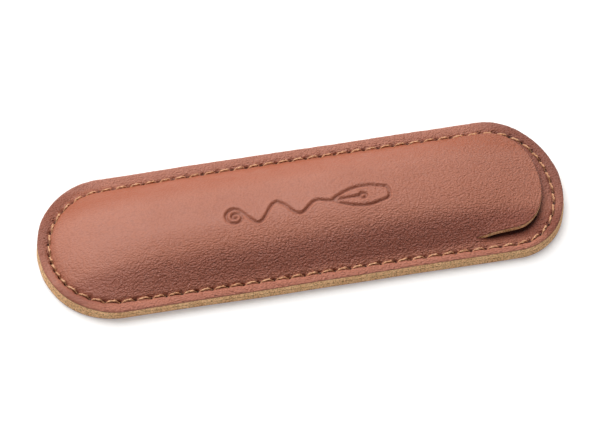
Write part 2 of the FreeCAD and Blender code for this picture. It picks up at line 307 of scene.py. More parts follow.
def skin_height(x, y):
    """The moulded skin over the dome and its foot."""
    rise = soft_max(dome_height(x, y), 0.0, FOOT_BLEND)
    return RIM_TOP + rise + sway(x, y, rise)


def lip_height(x, y):
    """The same skin where it is the lip: its edge rides one step over the rim."""
    step = LIP_STEP * smoothstep(x, LIP_ROOT, LIP_STEP_END)
    step = step * (1 - LIP_FAR_LOWER * smoothstep(y, 3, 14))
    curl = LIP_CURL * smoothstep(x, 47, 55) * smoothstep(-y, 2, 12)
    rise = soft_max(dome_height(x, y), step + curl, FOOT_BLEND)
    return RIM_TOP + rise + sway(x, y, rise)


def valley_height(x, y):
    """The rim inside the seam at the mouth: it leaves the dome at the slit's root and sinks."""
    left = 1 - smoothstep(x, LIP_ROOT, LIP_ROOT + VALLEY_LENGTH)
    return RIM_TOP + (skin_height(x, y) - RIM_TOP) * left


def normals(height, x, y):
    """Unit directions out of a skin whose height is a function of the place."""
    step = 0.05
    dx = (height(x + step, y) - height(x - step, y)) / (2 * step)
    dy = (height(x, y + step) - height(x, y - step)) / (2 * step)
    normal = np.stack((-dx, -dy, np.ones_like(dx)), axis=-1)
    return normal / np.linalg.norm(normal, axis=-1, keepdims=True)


# ---------------------------------------------------------------- the seam

def needle_holes():
    """The needle holes from the closed end's tip on, and the seam's direction at each."""
    look_ahead = 0.3
    start = len(SEAM) - END_COLUMNS // 2
    loop = np.roll(SEAM, -start, axis=0)
    loop = np.vstack((loop, loop[:1]))
    steps = np.linalg.norm(np.diff(loop, axis=0), axis=1)
    travelled = np.concatenate(([0], np.cumsum(steps)))
    weights = np.ones(STITCHES)
    weights[:RESTART_STITCHES] = RESTART_SHARE
    places = np.concatenate(([0], np.cumsum(weights)[:-1])) * travelled[-1] / weights.sum()

    def on_seam(spots):
        return np.stack([np.interp(spots, travelled, loop[:, axis]) for axis in (0, 1)], axis=1)

    holes = on_seam(places)
    along = on_seam(places + look_ahead) - holes
    return holes, along / np.linalg.norm(along, axis=1, keepdims=True)


HOLES, HOLE_ALONG = needle_holes()
rng = np.random.default_rng(7)
HOLE_DEPTH = rng.uniform(0.75, 1.2, STITCHES)  # no two holes are alike: shares of the usual depth
PUCKER = rng.uniform(0.5, 1.25, STITCHES)


def hole_reach(x, y):
    """How far each place lies from its nearest needle hole, along the seam and inwards from it."""
    flat = np.stack((x.ravel(), y.ravel()), axis=1)
    nearest = np.full(len(flat), 1e9)
    number = np.zeros(len(flat), int)
    for index, hole in enumerate(HOLES):
        distance = np.hypot(flat[:, 0] - hole[0], flat[:, 1] - hole[1])
        closer = distance < nearest
        nearest[closer] = distance[closer]
        number[closer] = index
    offset = flat - HOLES[number]
    tangent = HOLE_ALONG[number]
    along = offset[:, 0] * tangent[:, 0] + offset[:, 1] * tangent[:, 1]
    across = offset[:, 1] * tangent[:, 0] - offset[:, 0] * tangent[:, 1]
    shape = x.shape
    return along.reshape(shape), across.reshape(shape), number.reshape(shape)


def hole_pit(along, across):
    """The slit that the needle's blade leaves: long along the seam, a little outside the thread."""
    lengthwise = (along + PIT_OFFSET) / PIT_LENGTH
    crosswise = (across + PIT_OFFSET + PIT_LEAN * along) / PIT_WIDTH
    return np.exp(-lengthwise ** 2 - crosswise ** 2)


def drawn_in(x, y, off_seam, trench, trench_width, pit_depth, crease, crease_area):
    """How far the tight stitches draw the leather in, and how deep in a needle hole each place is.
    off_seam is the distance from the seam."""
    along, across, number = hole_reach(x, y)
    pit = hole_pit(along, across)
    trench = trench * np.exp(-(off_seam / trench_width) ** 2)
    crease = crease * PUCKER[number] * np.exp(-(along ** 2 + across ** 2) / crease_area)
    return trench + pit_depth * HOLE_DEPTH[number] * pit + crease, pit


# ---------------------------------------------------------------- grain, wrinkles and the ornament

def ripple(x, y, size_x, size_y, seed, octaves=2):
    """Smooth noise between about -1 and 1, whose waves are size_x by size_y long."""
    values = np.empty(x.size)
    for index, (px, py) in enumerate(zip((x / size_x).ravel(), (y / size_y).ravel())):
        values[index] = noise.fractal((px, py, seed), 1.0, 2.1, octaves)
    return values.reshape(x.shape)


def wrinkles(x, y):
    """Low wrinkles that moulding leaves along the feet of the dome. The grain itself is a bump."""
    between_ends = smoothstep(x, -56, -34) * smoothstep(-x, -50, -40)
    painted_near_foot_shade = np.exp(-((y + 14.6) / 2.9) ** 2) * between_ends
    far_foot = np.exp(-((y - 15.5) / 2.2) ** 2) * 0.3
    long_waves = ripple(x, y, 2.2, 0.62, seed=3.7, octaves=3)
    from_mouth = np.hypot(np.clip(x - MOUTH_CENTRE, 0, None) * 1.65, y)
    calm = 1 - 0.8 * smoothstep(x, 36, 42) * smoothstep(from_mouth, 14.5, 17)
    return WRINKLE * (painted_near_foot_shade + far_foot) * long_waves * calm


def ornament_lines():
    """A pen nib and the wavy ink line that leaves it and curls up, as points close together."""
    tip, shoulder, fall = NIB_TIP, 0.6, 0.42
    along = np.linspace(0, 1, 70)
    widening = np.sin(math.pi / 2 * along / shoulder) ** 0.85
    narrowing = 1 - fall * (np.clip(along - shoulder, 0, None) / (1 - shoulder)) ** 1.6
    swell = np.where(along < shoulder, widening, narrowing)
    lines = []

    def draw(x, y):
        lines.append(np.stack((x, ORNAMENT_MIDDLE + y), axis=1))

    for side in (-1, 1):
        draw(tip + NIB_LENGTH * along, side * NIB_HALF * swell)
    tail_half = NIB_HALF * swell[-1]
    tail_y = np.linspace(-tail_half, tail_half, 20)
    draw(tip + NIB_LENGTH + 0.5 * (1 - (tail_y / tail_half) ** 2), tail_y)
    draw(np.linspace(tip + 0.6, tip + 6.9, 30), np.zeros(30))
    turn = np.linspace(0, 2 * math.pi, 24)
    draw(tip + 7.8 + NIB_EYE * np.cos(turn), NIB_EYE * np.sin(turn))
    travel = np.linspace(0, 1, 180)
    ink_x = tip - INK_LENGTH * travel
    swing = INK_SWING * np.sin(math.pi / 2 * np.clip(travel * 1.7, 0, 1))
    draw(ink_x, swing * np.sin(4.5 * math.pi * travel))
    curl = np.linspace(0, 3.1 * math.pi, 120)
    radius = INK_SWING * (1 - curl / (3.5 * math.pi))
    angle = math.pi / 2 + curl
    draw(ink_x[-1] + radius * np.cos(angle), radius * np.sin(angle))
    return np.vstack(lines)


def ornament_relief(x, y):
    """The ornament is pressed into the crown, and the leather beside it swells a little."""
    relief = np.zeros(x.shape)
    near = (np.abs(x) < 24) & (np.abs(y - ORNAMENT_MIDDLE) < 6)
    spots = np.stack((x[near], y[near]), axis=1)
    distance = np.full(len(spots), 1e9)
    for point in ornament_lines():
        distance = np.minimum(distance, np.hypot(*(spots - point).T))
    pressed = 1 - smoothstep(distance, 0.16, 0.58)
    swollen = np.exp(-((distance - 0.9) / 0.3) ** 2)
    relief[near] = -STROKE_DEPTH * pressed + STROKE_SWELL * swollen
    return relief


# ---------------------------------------------------------------- mesh building

def place_mesh(name, mesh):
    """Puts a finished mesh in the scene as a piece."""
    mesh.polygons.foreach_set("use_smooth", np.ones(len(mesh.polygons), bool))
    mesh.validate()
    mesh.update()
    piece = bpy.data.objects.new(name, mesh)
    bpy.context.scene.collection.objects.link(piece)
    return piece


class Shell:
    """Collects grids of points into one mesh, each with its material slot. The mesh also keeps each
    point's place at rest, its depth mark, which also sets painted shade in holes and pressed
    strokes, and its painted shade, which the materials read."""

    def __init__(self):
        self.points = []
        self.faces = []
        self.slots = []
        self.marks = []
        self.count = 0

    def add_grid(self, points, slot, marks=None, closed=False, flip=False):
        """A grid of rows by columns. closed joins the last column to the first."""
        rows, columns = points.shape[:2]
        index = np.arange(rows * columns).reshape(rows, columns) + self.count
        right = np.roll(index, -1, axis=1) if closed else index[:, 1:]
        left = index if closed else index[:, :-1]
        quads = np.stack((left[:-1], right[:-1], right[1:], left[1:]), axis=-1).reshape(-1, 4)
        if flip:
            quads = quads[:, ::-1]
        self.points.append(points.reshape(-1, 3))
        self.faces.append(quads)
        self.slots.append(np.full(len(quads), slot))
        self.marks.append(np.zeros(rows * columns) if marks is None else marks.ravel())
        self.count += rows * columns

    def build(self, name, materials, painted_shade):
        """The last argument gives each place's painted shade."""
        points = np.vstack(self.points)
        faces = np.vstack(self.faces)
        slots = np.concatenate(self.slots)
        marks = np.concatenate(self.marks)
        points, faces, slots, marks = weld(points, faces, slots, marks)
        mesh = bpy.data.meshes.new(name)
        mesh.from_pydata((points * MM).tolist(), [], faces)
        for material in materials:
            mesh.materials.append(material)
        mesh.polygons.foreach_set("material_index", slots.astype(np.int32))
        rest = mesh.attributes.new("rest", "FLOAT_VECTOR", "POINT")
        rest.data.foreach_set("vector", points.astype(np.float32).ravel())
        depth = mesh.attributes.new("depth", "FLOAT", "POINT")
        depth.data.foreach_set("value", marks.astype(np.float32))
        # Each place's painted shade goes to the materials as an attribute.
        shade = mesh.attributes.new("painted_shade", "FLOAT", "POINT")
        shade.data.foreach_set("value", painted_shade(points[:, 0], points[:, 1]).astype(np.float32))
        return place_mesh(name, mesh)


def weld(points, faces, slots, marks):
    """Joins points that lie in one place, and drops the faces that this closes up."""
    keys = np.round(points / WELD_STEP).astype(np.int64)
    _, first, same = np.unique(keys, axis=0, return_index=True, return_inverse=True)
    same = same.ravel()
    faces = same[faces]
    kept = []
    kept_slots = []
    for face, slot in zip(faces.tolist(), slots.tolist()):
        corners = [c for i, c in enumerate(face) if c != face[i - 1]]
        if len(set(corners)) == len(corners) and len(corners) > 2:
            kept.append(corners)
            kept_slots.append(slot)
    return points[first], kept, np.array(kept_slots), marks[first]


def between(first, second, shares):
    """Rows of points from one curve to another."""
    return first[None] + (second - first)[None] * np.asarray(shares)[:, None, None]


def lift(flat, z):
    """Gives flat points their heights."""
    return np.concatenate((flat, z[..., None]), axis=-1)


def closed_line(line):
    """A closed curve with its first point repeated at the end."""
    return np.vstack((line, line[:1]))


def rough_wall(top, bottom, roughness, seed):
    """A cut edge between two curves, with the uneven face that a knife leaves on fibres."""
    fibre = 0.6
    shares = np.linspace(0, 1, WALL_ROWS + 1)
    wall = top[None] + (bottom - top)[None] * shares[:, None, None]
    along = np.gradient(top, axis=0)
    out = np.stack((along[:, 1], -along[:, 0]), axis=1)
    out /= np.maximum(np.linalg.norm(out, axis=1, keepdims=True), 1e-9)
    steps = np.linalg.norm(np.diff(top[:, :2], axis=0), axis=1)
    travel = np.concatenate(([0], np.cumsum(steps))) / fibre
    push = np.empty(wall.shape[:2])
    for row in range(WALL_ROWS + 1):
        for column in range(len(top)):
            push[row, column] = noise.fractal((travel[column], row * 0.7, seed), 1.0, 2.0, 3)
    push *= roughness * np.sin(math.pi * shares)[:, None] ** 0.5
    wall[..., :2] += out[None] * push[..., None]
    return wall


SKIN, RAW, FLESH = 0, 1, 2  # material slots: the dyed side, the cut face, the undyed side


def skin_grid(flat, height, off_seam, fine=True):
    """The outer skin over a grid of places: moulded height, seam, wrinkles and ornament."""
    x = flat[..., 0]
    y = flat[..., 1]
    base = height(x, y)
    drawn, pit = drawn_in(x, y, off_seam, trench=0.30, trench_width=0.62, pit_depth=0.72,
                          crease=0.12, crease_area=1.3)
    relief = -drawn
    if fine:
        stroke = ornament_relief(x, y)
        relief = relief + wrinkles(x, y) + stroke
        # The pressed strokes take painted shade through the same mark as the needle holes.
        pit = np.maximum(pit, STROKE_DARKNESS * np.clip(-stroke, 0, 1))
    return lift(flat, base) + normals(height, x, y) * relief[..., None], pit


def inner_grid(flat, height, thickness):
    """The flesh side, one thickness under the skin, never lower than the glued face."""
    x = flat[..., 0]
    y = flat[..., 1]
    place = lift(flat, height(x, y)) - normals(height, x, y) * thickness
    place[..., 2] = np.maximum(place[..., 2], PLY + UNDER_GAP)
    return place


def rim_painted_shade(x, y):
    """How much shade is painted onto the rim: most at the two ends, and at the mouth it is the
    lip's painted shadow.
    """
    to_closed = (-x - CLOSED_CENTRE) / SEAM_CLOSED_REACH
    to_mouth = (x - MOUTH_CENTRE) / SEAM_MOUTH_REACH
    past_centre = np.clip(np.where(x < 0, to_closed, to_mouth), 0, None)
    outside = smoothstep(np.hypot(past_centre, y / SEAM_HALF), 0.97, 1.02)
    # Painted shadow of the lip at the mouth end, and painted shade at the closed end.
    mouth = 0.62 * smoothstep(x, 45, 59) * smoothstep(y, -19, 2)
    closed = 0.42 * smoothstep(-x, 44, 60) * smoothstep(y, -14, 6)
    return np.maximum(closed * outside, mouth)


def no_painted_shade(x, y):
    """For pieces that get no painted shade."""
    return np.zeros(x.shape)


def depth_marks(rows, columns, first=0.0, last=1.0):
    """How far from the dyed skin each row of a cut edge lies, 0 at the skin."""
    return np.repeat(np.linspace(first, last, rows)[:, None], columns, axis=1)


def make_dome(materials):
    """The moulded dome and its free lip, inside the seam: one sheet that bends at the lip."""
    shell = Shell()
    shares = np.linspace(0, 1, DOME_ROWS + 1)
    shares = shares + 0.07 * np.sin(2 * math.pi * shares) / (2 * math.pi)
    flat = between(SPINE, SLIT, shares)
    off_slit = (1 - shares)[:, None] * np.linalg.norm(SLIT - SPINE, axis=1)[None]
    top, marks = skin_grid(flat, lip_height, off_slit + BAND[None])
    shell.add_grid(top, SKIN, marks, closed=True, flip=True)

    band_shares = np.linspace(0, 1, BAND_ROWS + 1)
    band_flat = between(SLIT, SEAM, band_shares)[:, BODY_COLUMNS]
    band_off = (1 - band_shares)[:, None] * BAND[BODY_COLUMNS][None]
    band, band_marks = skin_grid(band_flat, skin_height, band_off)
    band[0] = top[-1, BODY_COLUMNS]
    shell.add_grid(band, SKIN, band_marks, flip=True)

    thickness = PLY - PLY_SLACK
    inner_shares = np.linspace(0, 1, INNER_ROWS + 1)
    inner_flat = between(SPINE, SLIT, inner_shares)
    under = inner_grid(inner_flat, lip_height, thickness)
    inner_marks = np.ones(under.shape[:2])
    lip = np.zeros(COLUMNS)
    lip[LIP_COLUMNS] = 1
    edge = smoothstep(inner_shares, 0.72, 0.9)[:, None] * lip[None]
    inner_x = inner_flat[..., 0]
    inner_y = inner_flat[..., 1]
    skin = lip_height(inner_x, inner_y)
    straight = lift(inner_flat, skin - thickness + LIP_SKIVED * edge)
    under = under + (straight - under) * edge[..., None]
    floor = np.minimum(valley_height(inner_x, inner_y) + LIP_GAP, skin - PLY_SLACK)
    under[..., 2] += edge * np.maximum(floor - under[..., 2], 0)
    lip_top = top[-1, LIP_COLUMNS]
    lip_under = np.minimum(under[-1, LIP_COLUMNS, 2], lip_top[:, 2] - UNDER_GAP)
    under[-1, LIP_COLUMNS] = lift(lip_top[:, :2], lip_under)
    shell.add_grid(under, FLESH, inner_marks, closed=True)
    under_flat = between(SLIT, SEAM, np.linspace(0, 1, 4))[:, BODY_COLUMNS]
    band_under = inner_grid(under_flat, skin_height, thickness)
    band_under[0] = under[-1, BODY_COLUMNS]
    shell.add_grid(band_under, FLESH, np.ones(band_under.shape[:2]))

    lip_wall = rough_wall(lip_top, under[-1, LIP_COLUMNS], roughness=0.06, seed=2.5)
    shell.add_grid(lip_wall, RAW, depth_marks(*lip_wall.shape[:2]), flip=True)
    shell.add_grid(np.stack((band[-1], band_under[-1])), FLESH, flip=True)
    for column in (0, -1):
        side = band[:: BAND_ROWS // 2, column]
        under_side = band_under[[0, 1, 3], column]
        shell.add_grid(np.stack((side, under_side)), FLESH, flip=column == -1)
    return shell.build("front_dome", materials, no_painted_shade)


def cut_share(share):
    """How far the cut has pressed the leather at each share of the way from seam to edge."""
    return np.clip((share - (1 - CUT_SHARE)) / CUT_SHARE, 0, 1) ** 2


def rim_profile(share):
    """The rim's swell between seam and cut edge, and the soft fall right at the cut."""
    swell = RIM_SWELL * np.sin(math.pi * np.clip(share, 0, 1)) ** 0.9
    fall = CUT_FALL + SLIM_FALL * SLIMMER
    return swell[:, None] - fall[None] * cut_share(share)[:, None]


def edge_at(depth):
    """The cut edge's line at a share of the way down to the table. It leans out at the closed end
    and along the near side of the mouth, and leans in towards the closed end elsewhere."""
    turn = np.arctan2(EDGE[:, 1], EDGE[:, 0] / 3)
    wander = 0.05 * np.sin(turn * 7 + 1.1) + 0.03 * np.sin(turn * 17 + 0.3)
    x, y = EDGE.T
    closed_end = smoothstep(-x, 48, 60) * smoothstep(-y, -14, 0)
    near_mouth = smoothstep(x, -5, 50) * smoothstep(-y, -5, 10)
    at_closed = closed_end * (CLOSED_LEAN * depth - CLOSED_INSET)
    at_slim = (1 - closed_end) * SLIM_LEAN * SLIMMER * depth
    tilt = at_closed - at_slim + MOUTH_LEAN * depth * near_mouth
    return EDGE + EDGE_OUT * (wander + tilt)[:, None]


def make_rim(materials):
    """The sewn rim of the front ply, with the flat part inside the seam at the mouth."""
    shell = Shell()
    shares = np.linspace(0, 1, RIM_ROWS + 1)
    edge = edge_at(0.0)
    flat = between(SEAM, edge, shares)
    width = np.linalg.norm(edge - SEAM, axis=1)
    top, marks = skin_grid(flat, skin_height, shares[:, None] * width[None], fine=False)
    x = flat[..., 0]
    y = flat[..., 1]
    small = RIM_PEBBLES * ripple(x, y, 0.9, 0.9, seed=5.5)
    broad = RIM_WAVES * ripple(x, y, 2.2, 2.2, seed=12.5)
    top[..., 2] += rim_profile(shares) + (small + broad) * shares[:, None] ** 0.5
    shell.add_grid(top, SKIN, marks, closed=True, flip=True)
    under = lift(np.stack((SEAM, edge_at(0.5))), np.full((2, COLUMNS), PLY + GLUE_GAP))
    shell.add_grid(under, FLESH, np.ones((2, COLUMNS)), closed=True)
    wall = rough_wall(closed_line(top[-1]), closed_line(under[-1]), roughness=0.07, seed=4.4)
    shell.add_grid(wall, RAW, depth_marks(*wall.shape[:2]), flip=True)

    inner = slit_ring(LIP_OVERLAP * smoothstep(COLUMN_X, LIP_ROOT, LIP_CLEAR))
    valley_shares = np.linspace(0, 1, BAND_ROWS + 3)
    valley_flat = between(inner, SEAM, valley_shares)[:, LIP_COLUMNS]
    width = np.linalg.norm(SEAM - inner, axis=1)[LIP_COLUMNS]
    valley_off = (1 - valley_shares)[:, None] * width[None]
    valley, valley_marks = skin_grid(valley_flat, valley_height, valley_off)
    valley[-1] = top[0, LIP_COLUMNS]
    shell.add_grid(valley, SKIN, valley_marks, flip=True)
    valley_under = lift(valley_flat[[0, -1]], np.full((2, len(LIP_COLUMNS)), PLY + GLUE_GAP))
    shell.add_grid(valley_under, FLESH, np.ones(valley_under.shape[:2]))
    inner_wall = np.stack((valley_under[0], valley[0]))
    shell.add_grid(inner_wall, RAW, depth_marks(2, len(LIP_COLUMNS), 1.0, 0.0), flip=True)
    seam_wall = np.stack((under[0, BODY_COLUMNS], top[0, BODY_COLUMNS]))
    shell.add_grid(seam_wall, FLESH, flip=True)
    return shell.build("front_rim", materials, rim_painted_shade)


def make_back(materials):
    """The flat back ply, skin side down: flat on the table and drawn in at the seam."""
    shell = Shell()
    inner_shares = np.concatenate((np.linspace(0, 0.82, 20), np.linspace(0.85, 1, 9)))
    rim_shares = np.linspace(0, 1, RIM_ROWS + 1)
    edge = edge_at(1.0)
    inside = between(SPINE, SEAM, inner_shares)
    outside = between(SEAM, edge, rim_shares)[1:]
    flat = np.concatenate((inside, outside))
    inside_off = (1 - inner_shares)[:, None] * np.linalg.norm(SEAM - SPINE, axis=1)[None]
    outside_off = rim_shares[1:, None] * np.linalg.norm(edge - SEAM, axis=1)[None]
    x = flat[..., 0]
    y = flat[..., 1]
    off_seam = np.concatenate((inside_off, outside_off))
    z, marks = drawn_in(x, y, off_seam, trench=0.45, trench_width=0.7, pit_depth=0.45,
                        crease=0.08, crease_area=1.2)
    z[len(inner_shares):] += BACK_FALL * cut_share(rim_shares[1:, None])
    z += BACK_WAVES * (1 + ripple(x, y, 2.4, 2.4, seed=8.2))
    bottom = lift(flat, z)
    shell.add_grid(bottom, SKIN, marks, closed=True)
    top_inside = between(SPINE, SEAM, np.linspace(0, 1, 5))
    top_flat = np.concatenate((top_inside, edge_at(0.5)[None]))
    top = lift(top_flat, np.full(top_flat.shape[:2], PLY - GLUE_GAP))
    shell.add_grid(top, FLESH, np.ones(top_flat.shape[:2]), closed=True, flip=True)
    wall = rough_wall(closed_line(top[-1]), closed_line(bottom[-1]), roughness=0.07, seed=6.6)
    shell.add_grid(wall, RAW, depth_marks(*wall.shape[:2], 1.0, 0.0), flip=True)
    return shell.build("back_ply", materials, no_painted_shade)


def stitch_path(number, surface, side, lean, bulge):
    """The middle line of one stitch, and the direction across it."""
    start = HOLES[number]
    step = HOLES[(number + 1) % STITCHES] - start
    inward = np.array((-step[1], step[0])) / np.linalg.norm(step)
    share = np.linspace(0, 1, STITCH_STEPS)[:, None]
    flat = start + step * share + inward * ((share * 2 - 1) * lean)
    share = share[:, 0]
    arch = smoothstep(share, 0.03, 0.30) * smoothstep(1 - share, 0.03, 0.30)
    rise = (THREAD_DEPTH + bulge) * arch - THREAD_DEPTH
    level = surface(flat[:, 0], flat[:, 1]) + side * rise
    return lift(flat, level), np.array((*inward, 0)), np.linalg.norm(step)


def make_stitches(name, material, surface, side):
    """One thread's stitches. Each is two strands twisted together, from hole to hole, and it leans
    a little across the seam. side is 1 on the front and -1 on the back."""
    points = []
    faces = []
    tints = []
    share = np.linspace(0, 1, STITCH_STEPS)
    flatten = (0.62 + 0.38 * np.sin(math.pi * share))[:, None]
    turn = np.linspace(0, 2 * math.pi, STRAND_SIDES, endpoint=False)[None, :, None]
    up = np.array((0, 0, 1.0))
    for number in range(STITCHES):
        lean = STITCH_LEAN + 0.06 * rng.uniform(-1, 1)
        bulge = STITCH_BULGE + 0.05 * rng.uniform(-1, 1)
        phase = rng.uniform(0, math.pi)
        middle, across, length = stitch_path(number, surface, side, lean, bulge)
        tint = rng.uniform(0, 1)
        for ply in range(2):
            twist = (phase + ply * math.pi + share * length * 2 * math.pi / TWIST_LENGTH)[:, None]
            offset = np.cos(twist) * across + 0.75 * np.sin(twist) * up
            centre = middle + TWIST_RADIUS * flatten * offset
            ringed = centre[:, None] + STRAND * flatten[..., None] * (
                np.cos(turn) * across + np.sin(turn) * up)
            base = len(points) * STITCH_STEPS * STRAND_SIDES
            points.append(ringed.reshape(-1, 3))
            tints.append(np.full(STITCH_STEPS * STRAND_SIDES, tint))
            last = base + (STITCH_STEPS - 1) * STRAND_SIDES
            for first in range(base, last, STRAND_SIDES):
                for j in range(STRAND_SIDES):
                    a = first + j
                    b = first + (j + 1) % STRAND_SIDES
                    faces.append((a, b, b + STRAND_SIDES, a + STRAND_SIDES))
            faces.append(tuple(base + j for j in reversed(range(STRAND_SIDES))))
            faces.append(tuple(last + j for j in range(STRAND_SIDES)))
    mesh = bpy.data.meshes.new(name)
    mesh.from_pydata((np.vstack(points) * MM).tolist(), [], faces)
    mesh.materials.append(material)
    tint = mesh.attributes.new("tint", "FLOAT", "POINT")
    tint.data.foreach_set("value", np.concatenate(tints).astype(np.float32))
    return place_mesh(name, mesh)


def match_normals(first, second):
    """Gives both pieces the same shading where their edges meet, so that no line shows."""
    meshes = (first.data, second.data)
    tree = kdtree.KDTree(len(meshes[0].vertices))
    for vertex in meshes[0].vertices:
        tree.insert(vertex.co, vertex.index)
    tree.balance()
    own = [np.zeros((len(mesh.vertices), 3)) for mesh in meshes]
    for vertex in meshes[1].vertices:
        _, index, distance = tree.find(vertex.co)
        if distance < SAME_PLACE:
            shared = meshes[0].vertices[index].normal + vertex.normal
            if shared.length > 1e-6:
                own[0][index] = shared.normalized()
                own[1][vertex.index] = shared.normalized()
    return own


# ---------------------------------------------------------------- materials

class Nodes:
    """Short calls for building one material."""

    def __init__(self, name):
        self.material = bpy.data.materials.new(name)
        self.material.use_nodes = True
        self.tree = self.material.node_tree
        self.shader = self.tree.nodes["Principled BSDF"]

    def link(self, source, target):
        self.tree.links.new(source, target)

    def add(self, kind, **settings):
        node = self.tree.nodes.new(kind)
        for key, value in settings.items():
            setattr(node, key, value)
        return node

    def attribute(self, name, output):
        return self.add("ShaderNodeAttribute", attribute_name=name).outputs[output]

    def split(self, place):
        node = self.add("ShaderNodeSeparateXYZ")
        self.link(place, node.inputs["Vector"])
        return node.outputs["X"], node.outputs["Y"], node.outputs["Z"]

    def both(self, first, second):
        return self.math("MULTIPLY", first, second)

    def either(self, first, second):
        return self.math("MAXIMUM", first, second)

    def squeezed(self, place, scales):
        mapping = self.add("ShaderNodeMapping")
        mapping.inputs["Scale"].default_value = scales
        self.link(place, mapping.inputs["Vector"])
        return mapping.outputs["Vector"]

    def noise(self, place, scale, detail, rough=0.55):
        node = self.add("ShaderNodeTexNoise")
        node.inputs["Scale"].default_value = scale
        node.inputs["Detail"].default_value = detail
        node.inputs["Roughness"].default_value = rough
        self.link(place, node.inputs["Vector"])
        return node.outputs["Fac"]

    def cells(self, place, scale):
        node = self.add("ShaderNodeTexVoronoi")
        node.inputs["Scale"].default_value = scale
        self.link(place, node.inputs["Vector"])
        return node.outputs["Distance"]

    def math(self, operation, *values):
        node = self.add("ShaderNodeMath", operation=operation)
        for socket, value in zip(node.inputs, values):
            if isinstance(value, (int, float)):
                socket.default_value = value
            else:
                self.link(value, socket)
        return node.outputs["Value"]

    def remap(self, value, low, high, new_low=0.0, new_high=1.0):
        node = self.add("ShaderNodeMapRange")
        node.inputs["From Min"].default_value = low
        node.inputs["From Max"].default_value = high
        node.inputs["To Min"].default_value = new_low
        node.inputs["To Max"].default_value = new_high
        self.link(value, node.inputs["Value"])
        return node.outputs["Result"]

    def mix(self, factor, first, second):
        node = self.add("ShaderNodeMix", data_type="RGBA")
        sockets = (node.inputs[0], node.inputs[6], node.inputs[7])
        for socket, value in zip(sockets, (factor, first, second)):
            if isinstance(value, tuple):
                socket.default_value = (*value, 1.0)
            else:
                self.link(value, socket)
        return node.outputs[2]

    def bump(self, height, distance, strength, under=None):
        node = self.add("ShaderNodeBump")
        if isinstance(strength, float):
            node.inputs["Strength"].default_value = strength
        else:
            self.link(strength, node.inputs["Strength"])
        node.inputs["Distance"].default_value = distance * MM
        self.link(height, node.inputs["Height"])
        if under is not None:
            self.link(under, node.inputs["Normal"])
        return node.outputs["Normal"]

    def finish(self, colour, roughness, normal, specular):
        self.link(colour, self.shader.inputs["Base Color"])
        if isinstance(roughness, float):
            self.shader.inputs["Roughness"].default_value = roughness
        else:
            self.link(roughness, self.shader.inputs["Roughness"])
        self.link(normal, self.shader.inputs["Normal"])
        self.shader.inputs["Specular IOR Level"].default_value = specular
        return self.material


def linear(red, green, blue):
    """A colour given as 0-255 display values, in the linear values that a shader takes."""
    def one(value):
        value = value / 255
        return value / 12.92 if value <= 0.04045 else ((value + 0.055) / 1.055) ** 2.4
    return one(red), one(green), one(blue)


